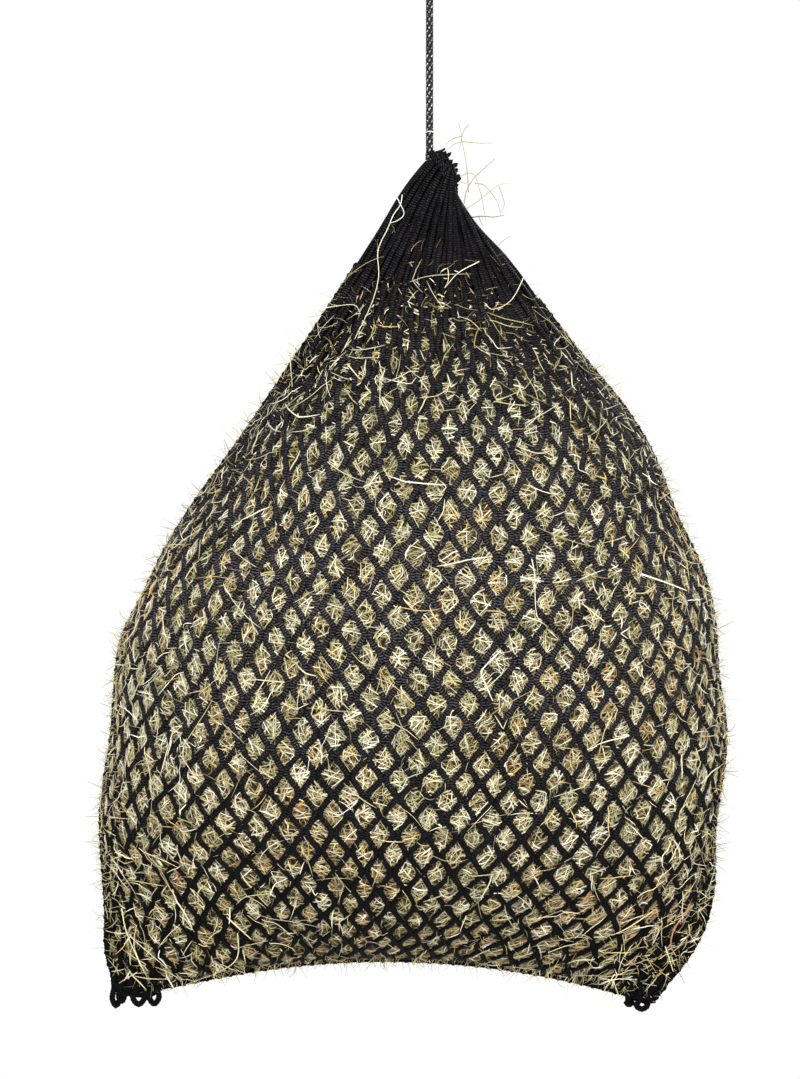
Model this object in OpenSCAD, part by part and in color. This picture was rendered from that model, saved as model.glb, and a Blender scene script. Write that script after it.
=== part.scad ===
// Hay net: a knotless slow-feed net packed with hay, hung by one braided cord from a tied eye.
// Frame: the origin is where the eye bears on its hook, +Z is up, +X is to the right seen from the front.
// Lengths are in millimetres and angles in degrees.

/* [Hanging cord] */
// Diameter of the braided cord
cord_d = 8; // [6:0.5:9]
// Height from the hook down to the middle of the eye knot
eye_h = 78; // [70:1:90]
// Width inside the tied eye
eye_w = 34; // [30:1:40]
// Radius of the eye knot
eye_knot_r = 13; // [12:0.5:15]
// Length of the free end that sticks out of the eye knot
tail_len = 34; // [26:1:40]
// Height from the middle of the eye knot down to the gathered mouth
drop = 198; // [190:1:400]

/* [Gathered mouth] */
// Half length of the drawn-up ring of cord, along the mouth
ring_a = 22; // [20:1:26]
// Half width of the drawn-up ring of cord, front to back
ring_b = 17; // [15:1:20]
// Lean of the mouth's plane away from level, falling to the right
ring_tilt = 68; // [60:1:75]
// Number of mesh loops threaded on the ring
mouth_loop_count = 16; // [12:1:17]
// Thickness of the netting twine
twine_d = 3; // [2:0.5:3]

/* [Filled net] */
// Height from the gathered mouth down to the middle of the bottom seam
net_h = 890; // [800:10:950]
// Half width of the filled net at its widest
net_w = 345; // [300:5:380]
// Half depth of the filled net at its deepest
net_d = 216; // [180:4:240]
// Thickness of the netting skin
skin = 4; // [3:0.5:5]
// Diameter of the laced seams
seam_d = 8; // [6:0.5:9]
// Height of the two bottom corners below the middle of the bottom seam
corner_drop = 28; // [20:1:50]
// Share of the net's height, from the mouth down, that is closed neck with no hay in it
neck_share = 0.18; // [0.16:0.01:0.2]
// Number of loops at the left bottom corner
left_loops = 3; // [2:1:4]
// Number of loops at the right bottom corner
right_loops = 2; // [2:1:3]

/* [Hidden] */

gap = 0.4;                      // clearance between pieces that move past each other
eye_knot_z = -eye_h;
mouth_z = -eye_h - drop;
cord_black = [0.11, 0.11, 0.12];
net_black = [0.13, 0.12, 0.15];
hay_straw = [0.72, 0.67, 0.45];

// Filled outline from the mouth (0) to the bottom seam (1): [share of height, half width, centre offset],
// the last two as shares of net_w.
outline = [[0.10, 0.175, 0.01], [0.15, 0.260, 0.02], [0.20, 0.350, 0.03], [0.30, 0.540, 0.06],
           [0.40, 0.715, 0.05], [0.50, 0.855, 0.01], [0.60, 0.955, -0.03], [0.70, 0.985, -0.035],
           [0.80, 1.000, -0.05], [0.90, 1.000, -0.07], [0.96, 0.965, -0.08], [1.00, 0.850, -0.14]];
half_width = [for (s = outline) [s[0], s[1] * net_w]];
centre_x = [for (s = outline) [s[0], s[2] * net_w]];
// Half depth down to the fullest level, as [share of height, share of net_d]
crown = [[0.10, 0.185], [0.15, 0.26], [0.20, 0.35], [0.30, 0.55], [0.40, 0.74], [0.50, 0.88], [0.60, 0.97],
         [0.70, 1.00], [0.78, 1.00]];
full_at = 0.78;                 // share of the height at which the bottom starts to round under

function net_depth(t) = t <= full_at
    ? net_d * lookup(t, crown)
    : max(seam_d / 2, net_d * sqrt(max(0, 1 - pow((t - full_at) / (1 - full_at), 2))));
function sag(t) = corner_drop * pow(max(0, (t - 0.8) / 0.2), 2);
// How far the section has changed from an ellipse (0) to a lens with pointed sides (1)
function pinch(t) = max(0, min(1, (t - 0.85) / 0.14));
// A point of the net's outside at share t of the height and angle u round it; the front is at u = -90
function net_point(t, u) = [
    lookup(t, centre_x) + lookup(t, half_width) * cos(u),
    net_depth(t) * sign(sin(u)) * pow(abs(sin(u)), 1 + pinch(t)),
    mouth_z - t * net_h - sag(t) * pow(cos(u), 2)];
// The same point moved inwards, square to the surface
function inner_point(t, u, inset) =
    let (down = net_point(t, u) - net_point(t - 0.002, u),
         round = net_point(t, u + 1) - net_point(t, u - 1),
         out = cross(down, round))
    net_point(t, u) - inset * out / norm(out);
// A point at one side of the net, moved straight out
function net_edge(t, side, out) = net_point(t, side < 0 ? 180 : 0) + [side * out, 0, 0];
// Shares of the height for the rings of the net, closer together where the bottom rounds under;
// turned is how far the rounding goes, where 90 is the seam
function levels(top, upper, lower, turned) = concat(
    [for (r = [0:upper - 1]) top + (full_at - top) * r / upper],
    [for (r = [0:lower]) full_at + (1 - full_at) * sin(turned * r / lower)]);

// Closed solid through equal rings of an even number of points, each end closed by a ladder of triangles
module loft(rings) {
    n = len(rings[0]);
    end = (len(rings) - 1) * n;
    polyhedron(
        points = [for (r = rings) each r],
        faces = concat(
            [for (i = [0:n / 2 - 2])
                each let (j = n - 1 - i) [[i, i + 1, j - 1], [i, j - 1, j]]],
            [for (k = [0:n:end - n]) for (i = [0:n - 1])
                each let (a = k + i, b = k + (i + 1) % n) [[a, a + n, b + n], [a, b + n, b]]],
            [for (i = [0:n / 2 - 2])
                each let (j = n - 1 - i) [[end + i, end + j - 1, end + i + 1], [end + i, end + j, end + j - 1]]]),
        convexity = 6);
}

// Unit tangent of a route at point i
function along(route, i) =
    let (d = route[min(i + 1, len(route) - 1)] - route[max(i - 1, 0)]) d / norm(d);
// Ring of a cord's section, square to its route; flat is the direction kept square to the route
function cord_ring(c, t, flat, r, sides) =
    let (x = cross(flat, t) / norm(cross(flat, t)), y = cross(t, x))
    [for (k = [0:sides - 1]) c + r * (cos(360 * k / sides) * x + sin(360 * k / sides) * y)];
module cord(route, d, flat, sides) {
    loft([for (i = [0:len(route) - 1]) cord_ring(route[i], along(route, i), flat, d / 2, sides)]);
}

// Catmull-Rom curve through a route's points, with steps rings to each span
function curve_at(p0, p1, p2, p3, s) = 0.5 * (2 * p1 + (p2 - p0) * s
    + (2 * p0 - 5 * p1 + 4 * p2 - p3) * s * s + (3 * p1 - p0 - 3 * p2 + p3) * s * s * s);
function smooth_route(p, steps) = let (n = len(p) - 1) concat(
    [for (i = [0:n - 1]) for (k = [0:steps - 1])
        curve_at(p[max(i - 1, 0)], p[i], p[i + 1], p[min(i + 2, n)], k / steps)],
    [p[n]]);

// Routes of the hanging cord, chosen by hand; heights are measured from the eye knot's middle
eye_route = [[-7, 0, 11.7], [-11, 0, 20], [-17, 0, 34], [-21, 0, 50], [-20, 0, 66], [-12, 0, 78],
             [0, 0, 82], [12, 0, 78], [20, 0, 66], [21, 0, 50], [17, 0, 34], [11, 0, 20], [7, 0, 11.7]];
tail_route = [[-12, 0, -6], [-17, 1, -10], [-22, 2, -16], [-25, 3, -24], [-26, 3, -tail_len]];
eye_scale_x = (eye_w + cord_d) / 42;
eye_scale_z = (eye_h + cord_d / 2) / 82;

module hanging_eye() {
    color(cord_black)
        translate([0, 0, eye_knot_z])
            cord(smooth_route([for (p = eye_route)
                     [p[2] > 15 ? p[0] * eye_scale_x : p[0], p[1], p[2] > 15 ? p[2] * eye_scale_z : p[2]]], 3),
                 cord_d, [0, 1, 0], 12);
}

// The knot's turns are rounded rings that stay inside one ball, so the eye and the cord can pivot on it
module eye_knot() {
    turn_r = 4;
    color(cord_black)
        translate([0, 0, eye_knot_z])
            rotate_extrude($fn = 48)
                intersection() {
                    union() {
                        translate([0, -8]) square([6, 16]);
                        for (level = [-6, 0, 6])
                            translate([sqrt(pow(eye_knot_r - turn_r, 2) - level * level), level]) circle(turn_r);
                        for (level = [-6, 0, 6])
                            translate([0, level - turn_r / 2]) square([5, turn_r]);
                    }
                    translate([0, -eye_knot_r]) square(2 * eye_knot_r);
                }
}

module eye_tail() {
    color(cord_black)
        translate([0, 0, eye_knot_z])
            cord(smooth_route(tail_route, 3), cord_d, [0, 1, 0], 12);
}

module hanging_cord() {
    top = eye_knot_z - eye_knot_r - gap;
    bottom = mouth_z + gap;
    rings = 12;
    color(cord_black)
        cord([for (i = [0:rings]) [0, 0, top + (bottom - top) * i / rings]], cord_d, [0, 1, 0], 12);
}

// The knot that closes the drawn-up ring on the standing cord
module draw_knot() {
    turn_r = 4;
    color(cord_black)
        translate([0, 0, mouth_z - 2 * turn_r])
            rotate_extrude($fn = 48) {
                for (level = [-4, 4])
                    translate([4.4, level]) circle(turn_r);
                translate([0, -8]) square([4.4, 16]);
            }
}

// Centre of the drawn-up ring; its plane falls to the right by ring_tilt
ring_centre = [24, 0, mouth_z - 38];
ring_along = [cos(ring_tilt), 0, -sin(ring_tilt)];
ring_out = [sin(ring_tilt), 0, cos(ring_tilt)];
module on_ring() {
    translate(ring_centre)
        rotate([0, ring_tilt, 0])
            children();
}

module draw_cord() {
    steps = 40;
    route = [for (i = [0:steps])
        [-ring_a * cos(14 + 332 * i / steps), ring_b * sin(14 + 332 * i / steps), 0]];
    color(cord_black)
        on_ring()
            cord(route, cord_d - 1, [0, 0, 1], 12);
}

// Last row of meshes, each one threaded by the ring
module mouth_loops() {
    loop_r = cord_d / 2 + twine_d / 2 + 0.3;
    color(net_black)
        on_ring()
            for (k = [0:mouth_loop_count - 1]) {
                u = 22 + 316 * k / (mouth_loop_count - 1);
                heading = atan2(ring_b * cos(u), ring_a * sin(u));
                translate([-ring_a * cos(u), ring_b * sin(u), 0])
                    rotate([0, 0, heading])
                        rotate([0, 90, 0])
                            rotate_extrude($fn = 32)
                                translate([loop_r, 0]) circle(twine_d / 2 - 0.1, $fn = 16);
            }
}

// Closed neck: sections turn from the mouth's leaning plane to level as the pleats fan out
neck_sections = [[15, -46, ring_tilt, 21, 18], [11, -60, 34, 30, 24], [8, -82, 17, 49, 33],
                 [8, -112, 6, 72, 46], [8, -140, 0, 93, 59]];
module neck_netting() {
    sides = 32;
    bottom = [for (k = [0:sides - 1]) net_point(neck_share, -360 * k / sides)];
    color(net_black)
        loft(concat(
            [for (s = neck_sections) [for (k = [0:sides - 1]) let (u = -360 * k / sides)
                [s[0] + s[3] * cos(u) * cos(s[2]), s[4] * sin(u), mouth_z + s[1] - s[3] * cos(u) * sin(s[2])]]],
            [bottom]));
}

// One panel of netting, a thin skin from the neck to the bottom seam; side is -1 at the front, 1 at the back
module netting_panel(side) {
    columns = 18;
    clear = 0.3;
    color(net_black)
        loft([for (t = levels(neck_share + 0.005, 14, 12, 86))
            let (edge = 2 + 14 * pinch(t),
                 first = side < 0 ? -edge : 180 - edge,
                 angles = [for (c = [0:columns]) first - (180 - 2 * edge) * c / columns],
                 inner = [for (c = [columns:-1:0]) inner_point(t, angles[c], skin)])
            concat([for (u = angles) net_point(t, u)],
                   [for (p = inner) [p[0], side * max(clear, side * p[1]), p[2]]])]);
}
module netting_front() {
    netting_panel(-1);
}
module netting_back() {
    netting_panel(1);
}

module side_seam(side) {
    rings = 26;
    top = neck_share + 0.01;
    color(net_black)
        cord([for (i = [0:rings]) net_edge(top + (0.995 - top) * i / rings, side, seam_d / 2 + 0.6)],
             seam_d, [0, 1, 0], 10);
}
module side_seam_left() {
    side_seam(-1);
}
module side_seam_right() {
    side_seam(1);
}

// The bottom seam follows the arch between the two low corners
module bottom_seam() {
    rings = 24;
    color(net_black)
        cord([for (i = [0:rings])
                 let (p = net_point(1, 180 * (1 - i / rings)))
                 [p[0], 0, p[2] - seam_d / 2 - 1]],
             seam_d, [0, 1, 0], 10);
}

// Loops of twine left at a bottom corner; each hangs in line with the seam
module corner_loops(side, count) {
    loop_r = 8;
    pitch = 2 * loop_r + twine_d + 0.6;
    below = 1.5 + seam_d + loop_r + twine_d / 2;
    color(net_black)
        for (k = [0:count - 1]) {
            inwards = 2 + k * pitch;
            hung_from = net_point(1, 90 - side * (90 - acos(1 - inwards / lookup(1, half_width))));
            translate([hung_from[0], 0, hung_from[2] - below])
                rotate([90, 0, 0])
                    rotate_extrude($fn = 48)
                        translate([loop_r, 0]) circle(twine_d / 2, $fn = 16);
        }
}
module corner_loops_left() {
    corner_loops(-1, left_loops);
}
module corner_loops_right() {
    corner_loops(1, right_loops);
}

// The hay packed into the net, just inside its skin
module hay_fill() {
    sides = 36;
    hay_clear = 3;
    color(hay_straw)
        loft([for (t = levels(neck_share + 0.005, 14, 9, 76))
                 [for (k = [0:sides - 1]) inner_point(t, -360 * k / sides, skin + hay_clear)]]);
}

// Loose stems caught on the right of the gathered neck, as [start, middle, end] of each one
stray_stems = [[[44, -20, -76], [58, -24, -20], [84, -26, 14]], [[52, -14, -90], [78, -18, -62], [92, -20, -36]],
               [[58, 0, -98], [88, -4, -92], [104, -6, -78]], [[47, 6, -84], [50, 10, -30], [56, 12, 22]],
               [[64, 12, -104], [92, 18, -74], [96, 20, -30]]];
module stray_hay() {
    stem_d = 2;
    color(hay_straw)
        for (s = stray_stems)
            translate([0, 0, mouth_z])
                cord(smooth_route(s, 3), stem_d, [0, 1, 0], 8);
}

hanging_eye();
eye_knot();
eye_tail();
hanging_cord();
draw_knot();
draw_cord();
mouth_loops();
neck_netting();
netting_front();
netting_back();
side_seam_left();
side_seam_right();
bottom_seam();
corner_loops_left();
corner_loops_right();
hay_fill();
stray_hay();
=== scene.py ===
"""A knotless hay net full of hay, hanging by its braided draw cord.

Metres throughout. X runs across the net, Y from the front to the back, Z up.
The top of the hanging eye is where a hook holds it, at the origin.
"""

import math

import bpy
import numpy as np
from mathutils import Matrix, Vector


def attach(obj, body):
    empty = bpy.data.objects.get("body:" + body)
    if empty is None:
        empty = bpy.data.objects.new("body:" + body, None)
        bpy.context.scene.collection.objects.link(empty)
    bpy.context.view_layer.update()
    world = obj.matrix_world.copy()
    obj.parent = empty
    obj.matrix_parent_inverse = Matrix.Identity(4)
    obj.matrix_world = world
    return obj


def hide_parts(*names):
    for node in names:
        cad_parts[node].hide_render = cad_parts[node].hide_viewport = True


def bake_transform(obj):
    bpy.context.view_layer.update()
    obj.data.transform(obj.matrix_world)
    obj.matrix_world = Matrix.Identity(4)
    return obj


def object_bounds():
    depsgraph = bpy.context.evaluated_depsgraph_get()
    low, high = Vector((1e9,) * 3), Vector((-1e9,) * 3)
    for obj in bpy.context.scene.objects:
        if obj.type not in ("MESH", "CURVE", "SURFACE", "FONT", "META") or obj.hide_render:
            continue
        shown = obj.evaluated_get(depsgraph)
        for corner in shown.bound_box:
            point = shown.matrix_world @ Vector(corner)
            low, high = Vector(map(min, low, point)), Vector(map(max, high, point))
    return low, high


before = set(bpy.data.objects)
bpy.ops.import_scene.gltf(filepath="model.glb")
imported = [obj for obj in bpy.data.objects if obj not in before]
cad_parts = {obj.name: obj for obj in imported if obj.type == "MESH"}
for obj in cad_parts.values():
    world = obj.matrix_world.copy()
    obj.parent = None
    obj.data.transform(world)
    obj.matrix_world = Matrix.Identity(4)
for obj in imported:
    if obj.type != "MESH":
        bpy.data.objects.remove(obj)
cad_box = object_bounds()
random = np.random.default_rng(11)
uniform, normal = random.uniform, random.normal
MM = 0.001
TAU = 2 * math.pi

# ---------------------------------------------------------------- sizes

cord_d = 8 * MM
# From the hook to the middle of the eye's knot, and from there to the mouth.
eye_h = 78 * MM
drop = 198 * MM
mouth_z = -(eye_h + drop)
# From the mouth to the middle of the bottom seam, and half of the width and depth.
net_h = 889 * MM
net_w = 345 * MM
net_d = 216 * MM
corner_drop = 47 * MM
# Meshes round the net, half rows of them down it, and the length of a mesh's side.
meshes = 50
rows = 42
mesh_leg = 30.5 * MM
# A band of twine, and the length of one of its stitches.
band_w = 7.3 * MM
band_t = 4.0 * MM
rib = 2.9 * MM

# ---------------------------------------------------------------- camera

# The height of the view at the net, its middle, and how far off the camera stands.
view_h = 1.187
view_x = -0.0325
view_z = -0.7045
view_far = 6.0

camera_data = bpy.data.cameras.new("camera")
camera_data.sensor_width = 36
camera_data.lens = 36 * view_far / view_h
camera_data.clip_end = 60
camera = bpy.data.objects.new("camera", camera_data)
camera.location = (view_x, -view_far, view_z)
camera.rotation_euler = (math.pi / 2, 0, 0)
bpy.context.scene.collection.objects.link(camera)
bpy.context.scene.camera = camera

# ---------------------------------------------------------------- helpers


def unit(v):
    """Vectors of length 1."""
    return v / np.maximum(np.linalg.norm(v, axis=-1, keepdims=True), 1e-12)


def clip01(x):
    return np.clip(x, 0, 1)


def square_to(tangent, up):
    """The part of up that is square to a route, at length 1."""
    return unit(up - tangent * (up * tangent).sum(-1, keepdims=True))


def spline(points, steps):
    """A Catmull-Rom curve through the points."""
    p = np.array(points, float)
    p = np.vstack([2 * p[0] - p[1], p, 2 * p[-1] - p[-2]])
    out = []
    for a, b, c, d in zip(p[:-3], p[1:-2], p[2:-1], p[3:]):
        for s in np.arange(steps) / steps:
            out.append(
                0.5 * (2 * b + (c - a) * s + (2 * a - 5 * b + 4 * c - d) * s**2
                       + (3 * b - a - 3 * c + d) * s**3)
            )
    out.append(p[-2])
    return np.array(out)


def run_of(points):
    """The length along each route from its start to each point."""
    step = np.linalg.norm(np.diff(points, axis=-2), axis=-1)
    return np.concatenate([np.zeros_like(step[..., :1]), np.cumsum(step, axis=-1)], axis=-1)


def read_off(at, along, points):
    """A route's points at these lengths along it."""
    return np.stack([np.interp(at, along, line) for line in points.T], axis=-1)


def even(points, gap):
    """The same route with its points evenly apart."""
    along = run_of(points)
    count = max(4, int(round(along[-1] / gap)) + 1)
    return read_off(np.linspace(0, along[-1], count), along, points)


def carried_frame(points, first):
    """Tangents and two crosswise directions that don't twist along a route."""
    tangent = unit(np.gradient(points, axis=0))
    side = np.zeros_like(points)
    now = np.array(first, float)
    for i, t in enumerate(tangent):
        now = now - t * np.dot(now, t)
        now = now / np.linalg.norm(now)
        side[i] = now
    return tangent, side, np.cross(tangent, side)


def tubes(points, up, half_w, half_t, sides=6, values=None, ribbed=False):
    """A batch of tubes: points and up are (tubes, rings, 3), the halves (tubes, rings).
    A ribbed tube has two rings to each rib."""
    tangent = unit(np.gradient(points, axis=1))
    up = square_to(tangent, up)
    shape = points.shape[:2]
    return {
        "points": points,
        "across": np.cross(up, tangent),
        "up": up,
        "half_w": np.broadcast_to(half_w, shape),
        "half_t": np.broadcast_to(half_t, shape),
        "sides": sides,
        "ribbed": ribbed,
        "values": values or {},
    }


def rib_wave(rings):
    """1 on a rib and 0 between two ribs."""
    return 1.0 - np.arange(rings) % 2


def corners(near, far, low, high):
    """Four corners for each face of a picture, in the order of the face's loops."""
    near, far, low, high = np.broadcast_arrays(near, far, low, high)
    return np.stack([near, low, near, high, far, high, far, low], axis=-1).reshape(-1, 2)


def part_of(batch, chosen):
    """Some of a batch's tubes."""
    part = {k: v[chosen] if isinstance(v, np.ndarray) else v for k, v in batch.items()}
    part["values"] = {k: v[chosen] for k, v in batch["values"].items()}
    return part


def tube_mesh(name, batches, pitch=rib, strips=1, columns=1, caps=True):
    """One mesh of many tubes, with a strip of the baked picture for each length of tube."""
    # Clear space round each strip, as a share of its size.
    pad = 0.06
    verts, loops, totals, lay, weave = [], [], [], [], []
    names = sorted({n for b in batches for n in b["values"]})
    values = {n: [] for n in names}
    count = sum(b["points"].shape[0] for b in batches) * strips
    lines = math.ceil(count / columns)
    first, cell = 0, 0
    for b in batches:
        tube_count, rings = b["points"].shape[:2]
        sides = b["sides"]
        angle = TAU * np.arange(sides) / sides
        ring = (
            b["across"][:, :, None] * (b["half_w"][..., None] * np.cos(angle))[..., None]
            + b["up"][:, :, None] * (b["half_t"][..., None] * np.sin(angle))[..., None]
        )
        verts.append((b["points"][:, :, None] + ring).reshape(-1, 3))
        index = np.arange(tube_count * rings * sides).reshape(tube_count, rings, sides) + first
        first += tube_count * rings * sides
        near, far = index[:, :-1], index[:, 1:]
        quads = np.stack(
            [near, np.roll(near, -1, axis=2), np.roll(far, -1, axis=2), far], axis=-1
        )
        loops.append(quads.reshape(-1))
        totals.append(np.full(tube_count * (rings - 1) * sides, 4))
        # Where each corner lies in the baked picture, and along the twine.
        k = np.arange(rings - 1)
        per = math.ceil((rings - 1) / strips)
        strip = k // per
        place = cell + np.arange(tube_count)[:, None] * strips + strip[None]
        cell += tube_count * strips
        column, line = (place % columns)[..., None], (place // columns)[..., None]
        left = ((k - strip * per) / per)[None, :, None]
        low = np.arange(sides) / sides
        high = (np.arange(sides) + 1) / sides
        lay.append(corners(
            *((column + pad + (1 - 2 * pad) * edge) / columns for edge in (left, left + 1 / per)),
            *((line + pad + (1 - 2 * pad) * edge) / lines for edge in (low, high)),
        ))
        along = run_of(b["points"]) / pitch
        if b["ribbed"]:
            along = np.broadcast_to(np.arange(rings) / 2, along.shape)
        weave.append(corners(along[:, :-1, None], along[:, 1:, None], low, high))
        if caps:
            ends = np.concatenate([index[:, 0, ::-1], index[:, -1]])
            loops.append(ends.reshape(-1))
            totals.append(np.full(len(ends), sides))
            # Caps share one speck in the picture's corner.
            speck = np.stack([np.cos(angle), np.sin(angle)], axis=1) * 0.0004 + 0.0006
            lay.append(np.tile(speck, (len(ends), 1)))
            weave.append(np.zeros((ends.size, 2)))
        for n in names:
            v = np.asarray(b["values"].get(n, 0.0), float)
            v = v[:, None] if v.ndim == 1 else v
            v = np.broadcast_to(v, (tube_count, rings))
            values[n].append(np.repeat(v.reshape(-1), sides))
    return mesh_object(
        name, np.concatenate(verts), np.concatenate(loops), np.concatenate(totals),
        {"OFBake": np.concatenate(lay), "weave": np.concatenate(weave)},
        {n: np.concatenate(v) for n, v in values.items()},
    )


def mesh_object(name, verts, loops, totals, layers=None, values=None):
    """A smooth-shaded mesh from plain arrays."""
    mesh = bpy.data.meshes.new(name)
    mesh.vertices.add(len(verts))
    mesh.vertices.foreach_set("co", verts.astype(np.float32).ravel())
    mesh.loops.add(len(loops))
    mesh.loops.foreach_set("vertex_index", loops.astype(np.int32))
    mesh.polygons.add(len(totals))
    starts = np.concatenate([[0], np.cumsum(totals)[:-1]])
    mesh.polygons.foreach_set("loop_start", starts.astype(np.int32))
    mesh.update(calc_edges=True)
    mesh.polygons.foreach_set("use_smooth", np.ones(len(totals), bool))
    for layer, places in (layers or {}).items():
        uv = mesh.uv_layers.new(name=layer)
        uv.uv.foreach_set("vector", places.astype(np.float32).ravel())
    for attribute, numbers in (values or {}).items():
        a = mesh.attributes.new(attribute, "FLOAT", "POINT")
        a.data.foreach_set("value", numbers.astype(np.float32))
    obj = bpy.data.objects.new(name, mesh)
    bpy.context.scene.collection.objects.link(obj)
    return obj


# ---------------------------------------------------------------- materials


class Nodes:
    """A node tree, built up one node at a time."""

    def __init__(self, tree):
        self.tree = tree

    def node(self, kind, **settings):
        made = self.tree.nodes.new("ShaderNode" + kind)
        for setting, value in settings.items():
            setattr(made, setting, value)
        return made

    def link(self, out, into):
        self.tree.links.new(out, into)

    def value(self, name):
        return self.node("Attribute", attribute_name=name).outputs["Fac"]

    def parts(self, vector):
        """A vector's three parts."""
        made = self.node("SeparateXYZ")
        self.link(vector, made.inputs[0])
        return made.outputs

    def weave(self):
        """The place along a yarn or stem, and the share of the way round it."""
        return self.parts(self.node("UVMap", uv_map="weave").outputs[0])

    def noise(self, scale, detail=3.0, where=None, rough=0.6):
        made = self.node("TexNoise")
        made.inputs["Scale"].default_value = scale
        made.inputs["Detail"].default_value = detail
        made.inputs["Roughness"].default_value = rough
        if where is None:
            where = self.node("TexCoord").outputs["Object"]
        self.link(where, made.inputs["Vector"])
        return made.outputs["Fac"]

    def math(self, operation, a, b=0.0, clamp=False):
        made = self.node("Math", operation=operation, use_clamp=clamp)
        for slot, term in zip(made.inputs, (a, b)):
            if isinstance(term, (int, float)):
                slot.default_value = term
            else:
                self.link(term, slot)
        return made.outputs[0]

    def plus(self, a, b, share, clamp=False):
        """a + b * share"""
        return self.math("ADD", a, self.math("MULTIPLY", b, share), clamp)

    def past(self, value, at, gain):
        """How far a value is past a mark, from 0 to 1."""
        return self.math("MULTIPLY", self.math("SUBTRACT", value, at), gain, clamp=True)

    def ramp(self, fac, stops):
        made = self.node("ValToRGB")
        elements = made.color_ramp.elements
        while len(elements) < len(stops):
            elements.new(0.5)
        for element, (place, colour) in zip(elements, stops):
            element.position = place
            element.color = (*colour, 1)
        self.link(fac, made.inputs["Fac"])
        return made.outputs["Color"]

    def mix(self, fac, a, b):
        made = self.node("MixRGB")
        self.link(fac, made.inputs["Fac"])
        for slot, term in ((made.inputs[1], a), (made.inputs[2], b)):
            if isinstance(term, tuple):
                slot.default_value = (*term, 1)
            else:
                self.link(term, slot)
        return made.outputs["Color"]

    def range(self, value, low, high, start=0.0, end=1.0):
        made = self.node("MapRange")
        self.link(value, made.inputs["Value"])
        for socket, number in (("From Min", start), ("From Max", end), ("To Min", low), ("To Max", high)):
            made.inputs[socket].default_value = number
        return made.outputs[0]


class Paint(Nodes):
    """A node material."""

    def __init__(self, name, **sockets):
        self.material = bpy.data.materials.new(name)
        self.material.use_nodes = True
        super().__init__(self.material.node_tree)
        self.shader = self.tree.nodes["Principled BSDF"]
        for socket, value in sockets.items():
            self.shader.inputs[socket.replace("_", " ")].default_value = value

    def shade(self, colour, roughness=None):
        """Link the shader's colour and roughness."""
        self.link(colour, self.shader.inputs["Base Color"])
        if roughness:
            self.link(roughness, self.shader.inputs["Roughness"])

    def bump(self, height, distance, strength=1.0):
        made = self.node("Bump")
        made.inputs["Distance"].default_value = distance
        made.inputs["Strength"].default_value = strength
        self.link(height, made.inputs["Height"])
        self.link(made.outputs[0], self.shader.inputs["Normal"])


def twine_paint(name, dark, light):
    """Ribbed black yarn: stitches across the band, with painted highlights on the rib tops and painted
    shade in the grooves, and fine filaments in them.
    """
    p = Paint(name, Specular_IOR_Level=0.045)
    along, round_it, _ = p.weave()
    # Painted light and shade: the twine is painted lighter, with stronger painted rib highlights, round
    # the middle of the net's height, and darker up at the neck and down at the bottom, where less light
    # falls.
    lowest = mouth_z - net_h - corner_drop
    height = p.parts(p.node("TexCoord").outputs["Object"])[2]
    level = p.math("MULTIPLY", p.math("SUBTRACT", height, lowest), 1 / (mouth_z - lowest))
    painted_light_by_height = p.ramp(level, [(at, (share,) * 3) for at, share in (
        (0.0, 0.10), (0.10, 0.18), (0.25, 0.50), (0.38, 0.85),
        (0.50, 1.0), (0.63, 0.88), (0.75, 0.60), (0.85, 0.50),
    )])
    lean = p.math("ABSOLUTE", p.math("COSINE", p.math("MULTIPLY", round_it, TAU)))
    phase = p.plus(p.plus(along, lean, 0.18), p.noise(170, 1), 0.5)
    # The stitches, 1 on a rib top and -1 in a groove: in the colour they are painted highlights on the
    # tops and painted shade in the grooves, and they also give the bump.
    stitch_and_shine = p.math("COSINE", p.math("MULTIPLY", phase, TAU))
    for strength, gain, least in ((p.past(p.noise(300, 2), 0.36, 3.2), 0.9, 0.35), (painted_light_by_height, 0.8, 0.6)):
        strength = p.math("ADD", p.math("MULTIPLY", strength, gain), least)
        stitch_and_shine = p.math("MULTIPLY", stitch_and_shine, strength)
    fibre = p.noise(1500, 2)
    patch = p.noise(38, 4)
    tone = p.plus(p.math("MULTIPLY", stitch_and_shine, 0.36), fibre, 0.5)
    tone = p.plus(tone, patch, 0.5, clamp=True)
    cloth = p.ramp(tone, [(0.34, dark), (0.68, tuple(0.18 * c for c in light)), (1.0, light)])
    # Small pale specks over the yarn.
    pale_specks = p.past(p.noise(760, 2, rough=0.8), 0.63, 9.0)
    cloth = p.mix(pale_specks, cloth, tuple(1.6 * c for c in light))
    p.shade(p.mix(painted_light_by_height, dark, cloth), p.range(patch, 0.5, 0.75))
    p.bump(p.math("ADD", p.math("MULTIPLY", stitch_and_shine, 0.5), fibre), 0.6 * MM, 0.8)
    return p.material


def braid_paint():
    """Braided cord yarn: near black, with pale flecks where a tracer yarn shows."""
    p = Paint("braided_cord", Sheen_Weight=0.02, Sheen_Roughness=0.4, Specular_IOR_Level=0.2)
    lines = p.math("SINE", p.math("MULTIPLY", p.weave()[1], 12 * math.pi))
    fibre = p.noise(3200, 2)
    black = p.ramp(fibre, [(0.2, (0.001, 0.001, 0.001)), (0.9, (0.016, 0.016, 0.018))])
    pale = p.ramp(p.noise(430, 2), [
        (0.30, (0.01, 0.01, 0.011)), (0.46, (0.10, 0.10, 0.104)), (0.62, (0.46, 0.46, 0.46)),
    ])
    p.shade(p.mix(p.value("tracer"), black, pale), p.range(p.noise(120, 3), 0.45, 0.65))
    p.bump(p.math("ADD", p.math("MULTIPLY", lines, 0.4), fibre), 0.25 * MM, 0.7)
    return p.material


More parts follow.
